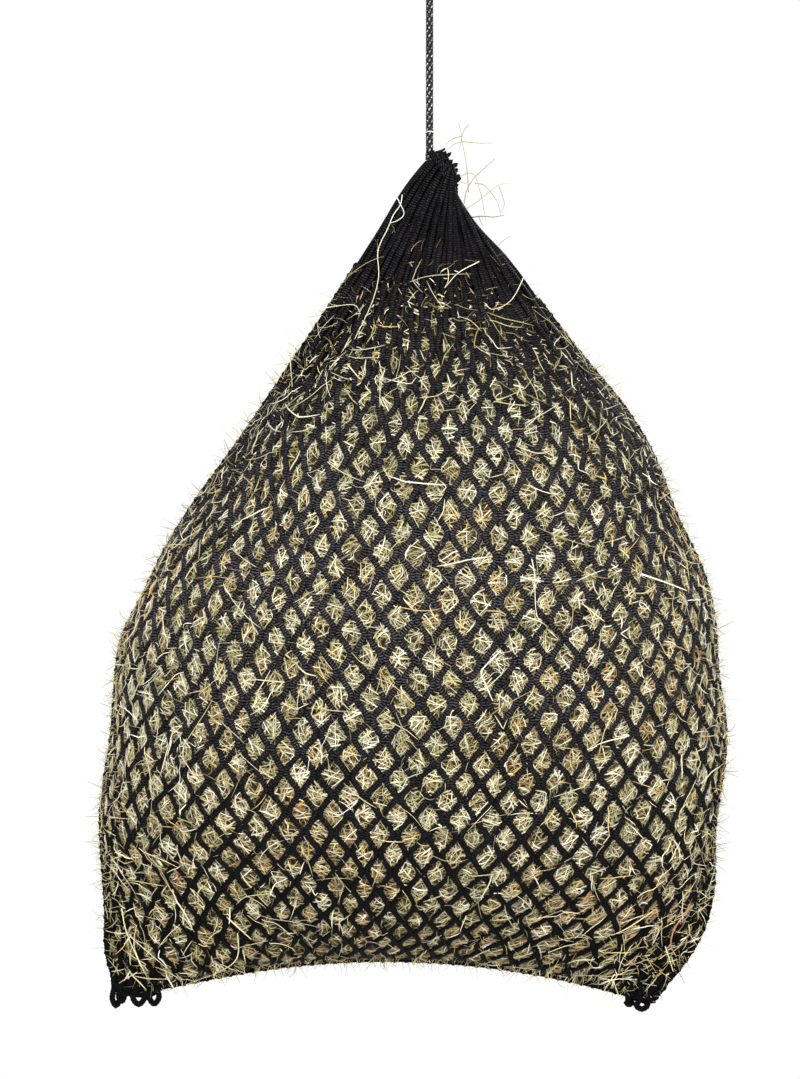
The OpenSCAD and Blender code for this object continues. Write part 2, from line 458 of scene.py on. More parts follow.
def hay_paint(name):
    """Dried grass: each stem has its own tone and hue, with streaks and nodes along it."""
    p = Paint(name, Sheen_Weight=0.1)
    along, round_it, _ = p.weave()
    hue = p.value("hue")
    joined = p.node("CombineXYZ")
    for into, (part, scale) in zip(joined.inputs, ((along, 0.6), (round_it, 9.0), (hue, 40.0))):
        p.link(p.math("MULTIPLY", part, scale), into)
    streak = p.noise(1.0, 3, joined.outputs[0])
    tone = p.plus(p.value("tone"), p.math("SUBTRACT", streak, 0.5), 0.45)
    tone = p.plus(tone, p.math("SUBTRACT", p.noise(420, 3), 0.5), 0.25, clamp=True)
    green = p.ramp(tone, [
        (0.0, (0.030, 0.026, 0.010)), (0.3, (0.160, 0.149, 0.048)),
        (0.6, (0.425, 0.395, 0.184)), (0.82, (0.695, 0.640, 0.410)), (1.0, (0.94, 0.89, 0.72)),
    ])
    straw = p.ramp(tone, [
        (0.0, (0.038, 0.022, 0.008)), (0.3, (0.232, 0.143, 0.041)),
        (0.6, (0.525, 0.384, 0.150)), (0.82, (0.760, 0.625, 0.365)), (1.0, (0.95, 0.87, 0.66)),
    ])
    rust = p.ramp(tone, [
        (0.0, (0.040, 0.014, 0.005)), (0.4, (0.240, 0.090, 0.028)),
        (0.75, (0.520, 0.230, 0.070)), (1.0, (0.75, 0.46, 0.17)),
    ])
    colour = p.mix(p.past(hue, 0.90, 20.0), p.mix(p.past(hue, 0.43, 4.0), green, straw), rust)
    bleached = p.node("HueSaturation")
    strength = p.math("FRACT", p.math("MULTIPLY", hue, 17.0))
    p.link(p.range(strength, 0.64, 1.34), bleached.inputs["Saturation"])
    p.link(colour, bleached.inputs["Color"])
    p.shade(bleached.outputs[0], p.range(streak, 0.42, 0.72))
    p.bump(streak, 0.3 * MM, 0.6)
    return p.material


def core_paint():
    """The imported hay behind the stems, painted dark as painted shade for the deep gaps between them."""
    p = Paint("hay_core_painted_shade", Roughness=0.9)
    warp = p.node("Mapping")
    warp.inputs["Scale"].default_value = (1.0, 1.0, 0.22)
    warp.inputs["Rotation"].default_value = (0.3, 0.6, 0.2)
    p.link(p.node("TexCoord").outputs["Object"], warp.inputs["Vector"])
    fine = p.noise(420, 4, warp.outputs[0])
    p.shade(p.ramp(p.plus(p.math("MULTIPLY", fine, 0.9), p.noise(30, 3), 0.3), [
        (0.40, (0.008, 0.004, 0.002)), (0.66, (0.050, 0.033, 0.013)), (0.88, (0.18, 0.125, 0.052)),
    ]))
    p.bump(fine, 3 * MM, 1.0)
    return p.material


paint_braid = braid_paint()
# The twine's own black, which its paint also uses as painted shade in the grooves and at the neck and the
# bottom.
black_and_painted_shade = (0.0003, 0.0003, 0.0003)
paint_twine = twine_paint("net_twine", black_and_painted_shade, (0.090, 0.082, 0.092))
paint_seam = twine_paint("seam_cord", black_and_painted_shade, (0.060, 0.056, 0.062))
paint_hay = hay_paint("hay")
paint_core = core_paint()


def dress(obj, paint, slot, body, *nodes):
    """A piece's material, a slot that is not used, its body if it has just one, and its CAD nodes."""
    obj.data.materials.append(paint)
    if body:
        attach(obj, body)
    if nodes:
        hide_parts(*nodes)
    return obj


def braid_piece(name, batches, body, node, strips=1):
    return dress(tube_mesh(name, batches, strips=strips), paint_braid, "braided_cord", body, node)


def twine_piece(name, batches, node, strips=1, paint=paint_twine, slot="net_twine"):
    return dress(tube_mesh(name, batches, strips=strips), paint, slot, "net", node)


def hay_piece(name, batches, *nodes, body="net", columns=1, caps=True):
    piece = tube_mesh(name, batches, pitch=4 * MM, columns=columns, caps=caps)
    return dress(piece, paint_hay, "hay", body, *nodes)


# ---------------------------------------------------------------- braided cord


def braid(route, d=cord_d, gap=0.6 * MM, lead=36 * MM, first=(0, -1, 0.01)):
    """Sixteen yarns round a core: eight one way, and eight the other, over and under."""
    route = even(np.asarray(route, float), gap)
    _, side, other = carried_frame(route, first)
    along = np.arange(len(route)) * gap
    batches = []
    for turn in (1, -1):
        yarn = np.arange(8)
        phase = TAU * (yarn[:, None] / 8 + turn * along[None] / lead)
        out = side[None] * np.cos(phase)[..., None] + other[None] * np.sin(phase)[..., None]
        over = turn * np.cos(16 * math.pi * along / lead)
        radius = d / 2 - 0.075 * d + 0.045 * d * over
        points = route[None] + out * radius[None, :, None]
        pale = ((yarn % 2 == 0) & (turn > 0)).astype(float)
        batches.append(tubes(points, out, 0.118 * d, 0.062 * d, 6, {"tracer": pale}))
    batches.append(tubes(route[None], side[None], 0.38 * d, 0.38 * d, 6, {"tracer": np.zeros(1)}))
    return batches


# The standing cord starts in the end of the knot's leg and ends in the gathered mouth.
hang_top = -87.4 * MM
hang_end = mouth_z - 8 * MM
hang_route = even(np.array([[0, 0, hang_top], [0, 0, hang_end]]), 5 * MM)
hanging = braid_piece("hanging_cord_braid", braid(hang_route), "cord", "hanging_cord", 2)

eye_z = -eye_h


def at_knot(points, steps):
    """A curve through points in millimetres from the middle of the eye's knot."""
    return spline(np.array(points) * MM + [0, 0, eye_z], steps)


eye_leg = [[-5, 0, 1], [-7, 0, 9], [-11, 0, 20], [-17, 0, 34], [-21, 0, 50], [-20, 0, 66], [-12, 0, 78]]
eye_route = at_knot(eye_leg + [[0, 0, 82]] + [[-x, y, z] for x, y, z in eye_leg[::-1]], 6)
eye = braid_piece("hanging_eye_braid", braid(eye_route), None, "hanging_eye", 2)

# The eye's knot is two turns of cord, with an end that leads in and a leg that leads out.
wrap = np.linspace(0, 2 * TAU, 60)
wrap_r = 8.6 * MM
knot_route = np.stack([
    -wrap_r * np.cos(wrap), -wrap_r * np.sin(wrap), eye_z + 5.2 * MM - 10.4 * MM * wrap / wrap[-1],
], axis=1)
knot_start = at_knot([[-8.2, 0, 8], [-8.5, 0, 6.8], [-8.6, 0, 5.6]], 4)
knot_leg = at_knot([[6, 0, 6], [5.5, 0, 4], [2.5, 0, -4], [0, 0, -10.5]], 5)
knot = braid_piece(
    "eye_knot_wraps", braid(np.vstack([knot_start[:-1], knot_route])) + braid(knot_leg),
    "knot", "eye_knot", 2,
)
tail_route = at_knot([
    [-8.6, 0, -5.2], [-11, -4, -6], [-15, -4, -9], [-19.5, -1, -13.5], [-23, 1, -19.5],
    [-25.5, 3, -26], [-26, 3, -30],
], 6)
tail = braid_piece("eye_tail_braid", braid(tail_route), "knot", "eye_tail")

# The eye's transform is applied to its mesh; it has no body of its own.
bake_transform(eye)

# ---------------------------------------------------------------- the net's surface

# Share of the height, half width and centre as shares of net_w.
outline = np.array([
    [0.15, 0.260, 0.020], [0.20, 0.345, 0.022], [0.30, 0.540, 0.040], [0.40, 0.705, 0.036],
    [0.50, 0.845, -0.006], [0.60, 0.940, -0.032], [0.70, 0.968, -0.036], [0.80, 0.978, -0.055],
    [0.90, 0.970, -0.076], [0.96, 0.940, -0.095], [1.00, 0.850, -0.142],
])
# Share of the height and depth as a share of net_d, down to where it is fullest.
crown = np.array([
    [0.15, 0.26], [0.20, 0.35], [0.30, 0.55], [0.40, 0.74], [0.50, 0.88], [0.60, 0.97],
    [0.70, 1.00], [0.78, 1.00],
])
closing_power = 1.7
full_at = 0.70
# The gathered neck in millimetres: below the mouth, centre, tilt, half width, half depth, crest.
neck = np.array([
    [26, 18, 69, 26, 15, 6], [45, 18, 46, 37.5, 20, 4], [62, 17, 32, 47, 26, 2],
    [84, 13.5, 16, 58.5, 36, 0], [112, 12, 6, 75.5, 47, 0],
])


def net_sections():
    """Rows of (x, z, tilt, half width, half depth, crest, sag, pinch), mouth to bottom seam."""
    neck_at = neck[:, 0] * MM / net_h
    t = np.concatenate([
        np.linspace(neck_at[0], full_at, 200),
        full_at + (1 - full_at) * np.sin(np.linspace(0, math.pi / 2, 81))[1:],
    ])

    def soft(in_neck, at, below, reach=0.016):
        """A width, depth or angle at t, with its corners rounded over a short reach."""
        x = np.concatenate([neck_at, at])
        y = np.concatenate([in_neck, below])
        fine = np.linspace(neck_at[0] - 0.1, 1.1, 1400)
        value = np.interp(fine, x, y)
        slope0 = (y[1] - y[0]) / (x[1] - x[0])
        slope1 = (y[-1] - y[-2]) / (x[-1] - x[-2])
        value = np.where(fine < x[0], y[0] + slope0 * (fine - x[0]), value)
        value = np.where(fine > x[-1], y[-1] + slope1 * (fine - x[-1]), value)
        wide = np.exp(-0.5 * ((fine - fine.mean()) / reach) ** 2)
        wide = wide[wide > 0.001]
        value = np.convolve(value, wide / wide.sum(), mode="same")
        return np.interp(t, fine, value)

    closing = clip01((t - full_at) / (1 - full_at))
    shut = np.maximum(0, 1 - closing**closing_power) ** (1 / closing_power)
    deep = soft(neck[:, 4] * MM, crown[:, 0], crown[:, 1] * net_d)
    below_neck = [0.15, 1.0]
    table = np.stack([
        soft(neck[:, 1] * MM, outline[:, 0], outline[:, 2] * net_w),
        mouth_z - t * net_h,
        soft(np.radians(neck[:, 2]), below_neck, [0, 0]),
        soft(neck[:, 3] * MM, outline[:, 0], outline[:, 1] * net_w),
        np.maximum(np.where(t > full_at, net_d * shut, deep), 3 * MM),
        soft(neck[:, 5] * MM, below_neck, [0, 0]),
        corner_drop * np.maximum(0, (t - 0.8) / 0.2) ** 2,
        clip01((t - 0.85) / 0.14) * 0.9,
    ], axis=1)
    # The mouth's rim turns inwards over the draw cord.
    rim = table[0]
    over = []
    for turn in np.radians([200, 180, 150, 120, 90, 60, 30]):
        inward, rise = 4 * MM * (1 - math.cos(turn)), 4 * MM * math.sin(turn)
        if turn > math.pi:
            inward, rise = 8 * MM, -12 * MM
        row = rim.copy()
        row[0] += rise * math.sin(rim[2])
        row[1] += rise * math.cos(rim[2])
        row[3] -= inward
        row[4] -= inward
        over.append(row)
    return np.vstack([over, table]), len(over)


def net_grid(steps_round=400, steps_row=5):
    """The net's middle surface as a grid: down by half rows of mesh, and round by even lengths."""
    sections, rim = net_sections()
    u = np.linspace(-math.pi, math.pi, 1441)
    x, z, tilt, wide, deep, crest, sag, pinch = (c[:, None] for c in sections.T)
    local_x = wide * np.cos(u)
    local_y = deep * np.sign(np.sin(u)) * np.abs(np.sin(u)) ** (1 + pinch)
    lift = crest * np.sin(u) ** 2
    points = np.stack([
        x + local_x * np.cos(tilt) + lift * np.sin(tilt),
        local_y,
        z - local_x * np.sin(tilt) + lift * np.cos(tilt)
        - sag * (np.cos(u) ** 2 - 0.28 * clip01(-np.cos(u)) ** 10),
    ], axis=-1)
    round_it = run_of(points)
    share = np.linspace(0, 1, steps_round + 1)
    evened = np.stack([read_off(share * r[-1], r, p) for r, p in zip(round_it, points)])
    girth = round_it[:, -1]
    # Half rows get longer where the meshes are drawn shut.
    half_mesh = np.minimum(girth / (2 * meshes), 0.9 * mesh_leg)
    row_h = np.sqrt(mesh_leg**2 - half_mesh**2)
    down = np.linalg.norm(np.diff(evened, axis=0), axis=2)
    density = 0.5 * (1 / row_h[1:] + 1 / row_h[:-1])
    row = np.concatenate([np.zeros((1, steps_round + 1)), np.cumsum(down * density[:, None], axis=0)])
    start = row[rim]
    row = np.where(row < start, row - start, (row - start) * rows / (row[-1] - start))
    rim_row = -0.9
    row_at = np.append(np.arange(rim_row, rows, 1 / steps_row), rows)
    lines = range(steps_round + 1)
    grid = np.stack([read_off(row_at, row[:, j], evened[:, j]) for j in lines], axis=1)
    girth_at = np.stack([np.interp(row_at, row[:, j], girth) for j in lines], axis=1)
    return row_at, grid, girth_at.mean(axis=1)


row_at, grid, girth_at = net_grid()


def normals_of(points):
    """Outward directions of the grid."""
    down = np.gradient(points, axis=0)
    right = np.empty_like(points)
    right[:, 1:-1] = points[:, 2:] - points[:, :-2]
    right[:, 0] = right[:, -1] = points[:, 1] - points[:, -2]
    return unit(np.cross(down, right))


def waves(row, share, seed, amount, count=9, slow=2.4):
    """Smooth irregular hills over the net, closed round it."""
    own = np.random.default_rng(seed)
    total = 0.0
    for _ in range(count):
        round_n = own.integers(1, 7)
        row_n = own.uniform(0.4, slow) * own.choice([-1, 1])
        phase = own.uniform(0, TAU)
        total = total + own.uniform(0.4, 1) * np.sin(
            TAU * round_n * share + row_n * row * 0.35 + phase
        )
    return amount * total / math.sqrt(count)


share_at = np.linspace(0, 1, grid.shape[1])
open_part = clip01((row_at - 5) / 8) * clip01((rows - row_at) / 3)
hills = waves(row_at[:, None], share_at[None], 5, 4.0 * MM) * open_part[:, None]
grid = grid + normals_of(grid) * hills[..., None]
grid_normal = normals_of(grid)


def look_up(table, row, share):
    """A grid's value at any row and share of the way round."""
    r = np.clip((row - row_at[0]) / (row_at[-1] - row_at[0]) * (len(row_at) - 1), 0, len(row_at) - 1.001)
    s = (share % 1.0) * (grid.shape[1] - 1)
    i, j = r.astype(int), np.minimum(s.astype(int), grid.shape[1] - 2)
    a, b = (r - i)[..., None], (s - j)[..., None]
    return (
        (table[i, j] * (1 - a) + table[i + 1, j] * a) * (1 - b)
        + (table[i, j + 1] * (1 - a) + table[i + 1, j + 1] * a) * b
    )


def on_net(row, share):
    """Points and outward directions on the net."""
    return look_up(grid, row, share), unit(look_up(grid_normal, row, share))


def girth(row):
    return np.interp(row, row_at, girth_at)


def row_height(row):
    least = 12 * MM
    return np.sqrt(np.maximum(mesh_leg**2 - (girth(row) / (2 * meshes)) ** 2, least**2))


def crowd(row):
    """How strongly the meshes are drawn shut towards the two side edges, by row."""
    return clip01((24 - row) / 11) ** 1.3


def spread(share, row):
    """Where a mesh that is this share of the way round lies, and how far its neighbours are.
    Low down, the meshes crowd together round the side edges, most of all at the right."""
    left, both = 0.13 * crowd(row), 0.38 * crowd(row)
    turn = TAU * share
    place = share - left * np.sin(turn) / TAU - both * np.sin(2 * turn) / (2 * TAU)
    gap = 1 - left * np.cos(turn) - both * np.cos(2 * turn)
    low = clip01((row - 28) / 10)
    low = low * low * (3 - 2 * low)
    for edge, amount, reach in ((0.5, 0.50, 0.115), (0.0, 0.30, 0.08)):
        away = (share - edge + 0.5) % 1.0 - 0.5
        near = np.exp(-((away / reach) ** 2))
        place = place - low * amount * away * near
        gap = gap - low * amount * (1 - 2 * (away / reach) ** 2) * near
    return place, gap


# ---------------------------------------------------------------- the netting

strand_count = 2 * meshes


def strand_paths():
    """Each strand of twine goes down the net in a zigzag, meeting its neighbours in turn."""
    fine = 20
    row = np.arange(-0.85 * fine, rows * fine + 1) / fine
    k = np.arange(strand_count)
    # A strand runs straight down for this much of a row on each side of a crossing.
    hold = 0.15
    control_share = []
    node_move = normal(0, 0.035, (rows + 1, strand_count + 1))
    for i in range(rows + 1):
        parity = (k + i) % 2
        node = k + parity
        side = 1 - 2 * parity
        share = (node + node_move[i, node % strand_count]) / strand_count
        share = share + waves(float(i), node / strand_count, 21, 0.2) / strand_count
        place, gap = spread(share, float(i))
        room = girth(float(i)) * gap / strand_count
        off = side * np.minimum(0.385 * band_w, room / 2) / girth(float(i))
        control_share += [place + off, place + off]
    control_row = (np.arange(rows + 1)[:, None] + [-hold, hold]).reshape(-1)
    share = read_off(row, control_row, np.array(control_share)).T
    # The zigzag's bends are rounded off.
    kernel = np.exp(-0.5 * (np.arange(-6, 7) / 1.3) ** 2)
    kernel /= kernel.sum()
    padded = np.pad(share, ((0, 0), (6, 6)), mode="edge")
    share = np.stack([np.convolve(line, kernel, mode="valid") for line in padded])
    row = np.broadcast_to(row, share.shape)
    shift = waves(row, share, 33, 0.2) * clip01(row / 4) * clip01((rows - row) / 3)
    return row + shift, share


def netting():
    """All strands at even ribs: points, outward directions, rows, and the room each one has."""
    row, share = strand_paths()
    along = run_of(on_net(row, share)[0])
    rings = int(round(along[:, -1].mean() / (rib / 2)))
    rings += rings % 2
    at = np.linspace(0, 1, rings)
    row, share = (
        np.stack([np.interp(at * a[-1], a, v) for a, v in zip(along, line)]) for line in (row, share)
    )
    points, out = on_net(row, share)
    _, gap = spread(share, row)
    room = girth(row) * gap / strand_count
    k = np.arange(strand_count)
    layer = np.array([0, 2, 1, 3])[k % 4][:, None]
    shut = clip01((8.6 * MM - room) / (6 * MM))
    sink = layer * 3.4 * MM * shut
    wobble = waves(row, k[:, None] / strand_count * 7.0, 41, 0.8 * MM, slow=6)
    points = points - out * (sink + wobble * shut)[..., None]
    across = np.cross(out, unit(np.gradient(points, axis=1)))
    roll = waves(row, k[:, None] / strand_count * 11.0, 52, 0.75, slow=5) * shut
    roll = roll + waves(row, share, 57, 0.14, slow=8)
    up = out * np.cos(roll)[..., None] + across * np.sin(roll)[..., None]
    return points, up, row, room


strand_points, strand_up, strand_row, strand_room = netting()
ring_n = strand_points.shape[1]
tight = clip01((9 * MM - strand_room) / (7 * MM))
strand_half_w = (band_w / 2) * (1 - 0.2 * tight) * (0.88 + 0.12 * rib_wave(ring_n)[None])
strand_half_t = (band_t / 2) * (1 - (0.26 - 0.13 * tight) * (1 - rib_wave(ring_n)[None]))
neck_row = 5.6
neck_ring = int(np.argmin(np.abs(strand_row.mean(axis=0) - neck_row)))


def strands(first, count, rings):
    """So many strands of the net, over some of their rings."""
    part = (slice(first, first + count), rings)
    return tubes(
        strand_points[part], strand_up[part], strand_half_w[part], strand_half_t[part], 6,
        ribbed=True,
    )


# The netting and its hay are cut into gores, each a run of whole strands.
gore = 10
gores = strand_count // gore
gore_names = [f"{face}_{n + 1}" for face in ("front", "back") for n in range(gores // 2)]
net_pieces = [
    twine_piece(
        f"netting_{name}", [strands(n * gore, gore, slice(neck_ring, ring_n))],
        f"netting_{name[:-2]}", 3,
    )
    for n, name in enumerate(gore_names)
]


def neck_folds(first):
    """Folds of netting gathered under the outer bands of the neck. They reach lower at the sides."""
    n = 26
    share = 0.5 * (np.arange(n) + 0.5) / n + first / strand_count
    last = 4.6 + 6.5 * np.cos(TAU * share) ** 4
    row = -0.2 + np.linspace(0, 1, 120)[None] * (last[:, None] + 0.2)
    place, _ = spread(share[:, None] + waves(row, share[:, None] * 5, 91, 0.004), row)
    points, out = on_net(row, place)
    deep = 4.6 * MM + 1.6 * MM * np.sin(np.arange(n) * 2.4)[:, None]
    points = points - out * deep[..., None]
    wave = rib_wave(120)[None]
    return tubes(
        points, out, band_w * 0.56 * (0.88 + 0.12 * wave), band_t * 0.45 * (0.8 + 0.2 * wave), 6,
        ribbed=True,
    )


neck_pieces = [
    twine_piece(
        f"neck_netting_{face}",
        [strands(first, meshes, slice(0, neck_ring + 1)), neck_folds(first)], "neck_netting",
    )
    for face, first in (("front", 0), ("back", meshes))
]

# ---------------------------------------------------------------- hay


def hay_core():
    """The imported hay: one closed lump inside the netting, bulging into the meshes."""
    first_row = 2.4
    row = np.linspace(first_row, rows - 0.3, 160)
    share = np.arange(360) / 360
    r, s = np.meshgrid(row, share, indexing="ij")
    points, out = on_net(r, s)
    edge = np.abs(np.sin(TAU * s)) ** 0.4
    deep = (4 + 5.5 * edge) * MM + waves(r, s, 61, 1.3 * MM, count=14, slow=9)
    deep = deep + 9 * MM * clip01((6.5 - r) / 3)
    centre = points.mean(axis=1, keepdims=True)
    inward = clip01(np.linalg.norm(points - centre, axis=2) * 0.5)
    points = points - out * np.minimum(deep, inward)[..., None]
    y = points[..., 1]
    points[..., 1] = np.where(s < 0.5, np.minimum(y, -0.2 * MM), np.maximum(y, 0.2 * MM))
    rings, around = r.shape
    verts = np.vstack([points.reshape(-1, 3), points[0].mean(axis=0)])
    index = np.arange(rings * around).reshape(rings, around)
    near, far = index[:-1], index[1:]
    quads = np.stack([near, far, np.roll(far, -1, 1), np.roll(near, -1, 1)], axis=-1)[..., ::-1]
    cap = np.stack([np.full(around, rings * around), index[0], np.roll(index[0], -1)], axis=1)
    # Quads from the front to the back close the lower end.
    j = np.arange(1, around // 2 - 1)
    last = index[-1]
    shut = np.stack([last[j], last[j + 1], last[around - j - 1], last[around - j]], axis=1)
    half = around // 2
    ends = last[[[0, 1, around - 1], [half - 1, half, half + 1]]]
    faces = [quads.reshape(-1, 4), cap[:, ::-1], shut, ends]
    loops = np.concatenate([f.reshape(-1) for f in faces])
    totals = np.concatenate([np.full(len(f), f.shape[1]) for f in faces])
    return mesh_object("hay_core", verts, loops, totals)


core = dress(hay_core(), paint_core, "hay", "net", "hay_fill")


def stem_batch(row, share, angle, length, bend, lift, width, tone, hue, rings=4, sides=3, kink=None):
    """Stems lying on the net: middle, direction, length, bend, and height over it by ring.
    A kink is how far a stem turns where it is creased."""
    row, share, angle, length, bend = (c[:, None] for c in (row, share, angle, length, bend))
    along = np.linspace(-0.5, 0.5, rings)[None]
    sag = bend * length * (4 * along**2 - 1) * 0.25
    forward = along * length
    if kink is not None:
        past = np.maximum(along - uniform(-0.25, 0.3, row.shape), 0) * length
        sag = sag + past * np.sin(kink)[:, None]
        forward = forward - past * (1 - np.cos(kink))[:, None]
    a = forward * np.sin(angle) + sag * np.cos(angle)
    d = forward * np.cos(angle) - sag * np.sin(angle)
    r = row + d / row_height(row)
    s = share + a / girth(row)
    points, out = on_net(np.minimum(r, rows - 0.02), s)
    points = points + out * lift(r, s)[..., None]
    turn = uniform(-0.7, 0.7, len(row))[:, None, None]
    tangent = unit(np.gradient(points, axis=1))
    up = out * np.cos(turn) + np.cross(out, tangent) * np.sin(turn)
    taper = 1 - 0.75 * (2 * np.abs(along)) ** 3
    half = width[:, None] / 2 * taper
    return tubes(points, up, half, half * 0.55, sides, {"tone": tone, "hue": hue})


def mesh_stems():
    """The stems seen in each mesh: short arcs that bulge between the strands."""
    per_hole = 46
    i, m = np.array([
        (i, m) for i in range(5, rows + 1) for m in range(strand_count) if (m + i) % 2 == 1
    ], float).T
    place, gap = spread(m / strand_count, i)
    wide = girth(i) * gap / strand_count
    edge = np.minimum.reduce([m, np.abs(m - meshes), strand_count - m])
    corner = (rows - i) + edge * 0.8 < 2.6
    share_open = np.clip((wide - 5.5 * MM) / (11 * MM), 0, 1.1)
    count = np.where(corner, 0, per_hole * share_open).astype(int)
    hole_count = len(i)
    which = np.repeat(np.arange(hole_count), count)
    region = waves(i, m / strand_count, 71, 0.12)[which]
    i, place, wide = i[which], place[which], wide[which]
    n = len(which)
    row = i + normal(0, 0.46, n)
    share = place + normal(0, 0.46, n) * wide / girth(i)
    angle = uniform(-math.pi / 2, math.pi / 2, n) + 0.35 * np.sin(which * 1.7)
    short = uniform(0, 1, n) < 0.55
    length = np.where(short, uniform(7, 20, n), uniform(18, 44, n)) * MM
    length = length * np.clip(wide / (13 * MM), 0.5, 1)
    bend = normal(0, 1, n) * np.where(short, 0.5, 0.25)
    layer = uniform(0, 1, n) ** 1.2
    width = uniform(0.65, 1.55, n) * MM
    hole_tone = normal(0, 0.05, hole_count)[which]
    hole_hue = uniform(0, 1, hole_count)[which]
    # Low down the hay is painted darker, as painted shade where less light reaches the bottom, and it is
    # browner there; near the shoulders it is greener.
    low = clip01((i - 32) / 6)
    # Deeper stems are painted darker, as painted shade under the stems above them.
    tone = 0.86 + normal(0, 0.17, n) + hole_tone - 0.52 * layer
    tone = np.clip(tone - 0.10 * low - 0.22 * clip01((i - 38) / 4), 0.04, 1)
    hue = 0.34 * hole_hue + 0.68 * uniform(0, 1, n) + region - 0.05
    hue = clip01(hue - 0.13 * clip01((18 - i) / 6) + 0.12 * low)

    def lift(r, s):
        across = (s - place[:, None]) * girth(i)[:, None] / wide[:, None]
        far = across**2 + (r - i[:, None]) ** 2
        return (1.5 - 3.1 * np.minimum(far, 1.5)) * MM - 4.6 * MM * layer[:, None]

    whole = stem_batch(row, share, angle, length, bend, lift, width, tone, hue)
    sector = np.floor((place % 1.0) * gores).astype(int)
    return [part_of(whole, sector == number) for number in range(gores)]


for name, batch in zip(gore_names, mesh_stems()):
    columns = math.ceil(math.sqrt(len(batch["points"])))
    hay_piece(f"hay_stems_{name}", [batch], columns=columns, caps=False)


def loose_stems():
    """Longer stems that have worked out and lie over the net."""
    n = 2050
    row = 4.3 + (rows - 4.8) * uniform(0, 1, n) ** 0.7
    share = uniform(0, 1, n)
    at_edge = (uniform(0, 1, n) < 0.64) & (row > 13)
    share = np.where(at_edge, 0.5 * (share > 0.5) + normal(0, 0.055, n), share)
    length = uniform(12, 56, n) * MM * random.choice([1, 1, 1, 1.5], n) * np.where(at_edge, 0.62, 1)
    angle = uniform(-math.pi / 2, math.pi / 2, n)
    bend = normal(0, 0.22, n)
    kink = np.clip(normal(0, 1, n) ** 3 * 0.5, -2.3, 2.3)
    width = uniform(0.45, 1.15, n) * MM * random.choice([1, 1, 1, 1, 1.7], n)
    tone = np.clip(normal(0.73, 0.14, n) - 0.12 * clip01((10 - row) / 4), 0.3, 1)
    hue = np.clip(uniform(0.1, 1.0, n) ** 1.2, 0, 0.92)
    over = uniform(1.5, 4.5, n)[:, None] * MM
    tip = uniform(-4, 9, n)[:, None] * MM

    def lift(r, s):
        along = np.linspace(-1, 1, r.shape[1])[None]
        return over + tip * along**2 * np.sign(along + 0.4)

    return stem_batch(row, share, angle, length, bend, lift, width, tone, hue, 12, 4, kink)


def hairs(row, share, length, thick, outward):
    """Fine curling bits of hay that stand off the net."""
    n = len(row)
    base, out = on_net(row, share)
    lean = unit(normal(0, 1, (n, 3)))
    direction = unit(out * uniform(0.3, outward, n)[:, None] + lean * 0.8)
    room = net_d + 20 * MM - np.abs(base[:, 1])
    length = np.minimum(length, room * 0.9)[:, None, None]
    curl = np.cross(direction, unit(normal(0, 1, (n, 3))))[:, None]
    direction = direction[:, None]
    s = np.linspace(0, 1, 7)[None, :, None]
    turn = normal(0, 1.3, n)[:, None, None] * s
    # Arcs: forward by the sine of the turn, and sideways by its versed sine.
    points = base[:, None] - out[:, None] * 2 * MM + length * s * (
        direction * np.sinc(turn / math.pi) + curl * np.sinc(turn / 2 / math.pi) ** 2 * turn / 2
    )
    half = (thick / 2)[:, None] * (1 - 0.75 * s[..., 0] ** 2)
    up = unit(np.cross(np.broadcast_to(direction, points.shape), curl))
    tone = np.clip(normal(0.55, 0.18, n), 0.12, 1)
    return tubes(points, up, half, half, 3, {"tone": tone, "hue": uniform(0.05, 0.9, n)})


def fuzz():
    """Hairs all over, and a fringe along the bottom seam."""
    n = 4200
    row = 3 + (rows - 3.3) * uniform(0, 1, n) ** 0.72
    everywhere = hairs(
        row, uniform(0, 1, n), uniform(5, 26, n) * MM,
        uniform(0.35, 0.8, n) * MM * clip01(0.55 + row / 30), 0.8,
    )
    n = 620
    row = rows - uniform(0.1, 1.0, n)
    share = uniform(0.02, 0.48, n)
    fringe = hairs(row, share, uniform(6, 26, n) * MM, uniform(0.4, 1.0, n) * MM, 0.6)
    return [everywhere, fringe]


def edge_hairs():
    """Coarser bits of hay down the two sides, where the net rubs least."""
    n = 2300
    row = 7 + (rows - 8) * uniform(0, 1, n) ** 0.8
    share = 0.5 * random.integers(0, 2, n) + normal(0, 0.02, n)
    thick = uniform(0.4, 1.15, n) * MM
    return [hairs(row, share, uniform(6, 28, n) * MM, thick, 0.9)]


hay_piece("loose_stems", [loose_stems()], columns=25)
hay_piece("hay_fuzz", fuzz(), columns=61, caps=False)
hay_piece("side_fuzz", edge_hairs(), columns=48, caps=False)

# ---------------------------------------------------------------- mouth, seams and corners


def ribbed_run(points, up, width, thick):
    """A ribbed band of twine along one route."""
    points = even(points, rib / 2)
    up = square_to(unit(np.gradient(points, axis=0)), np.array(up, float))
    wave = rib_wave(len(points))
    return tubes(
        points[None], up[None], (width / 2 * (0.88 + 0.12 * wave))[None],
        (thick / 2 * (0.76 + 0.24 * wave))[None], 8, ribbed=True,
    )


def rim_frame(share):
    """A point on the mouth's rim, with the directions along it and out of the mouth."""
    here, left, right, below = on_net(
        np.array([0, 0, 0, 0.6]), share + np.array([0, -0.01, 0.01, 0])
    )[0]
    along = unit(right - left)
    out = unit(here - below)
    return here, along, unit(out - along * np.dot(out, along) + 0.55 * mouth_axis)


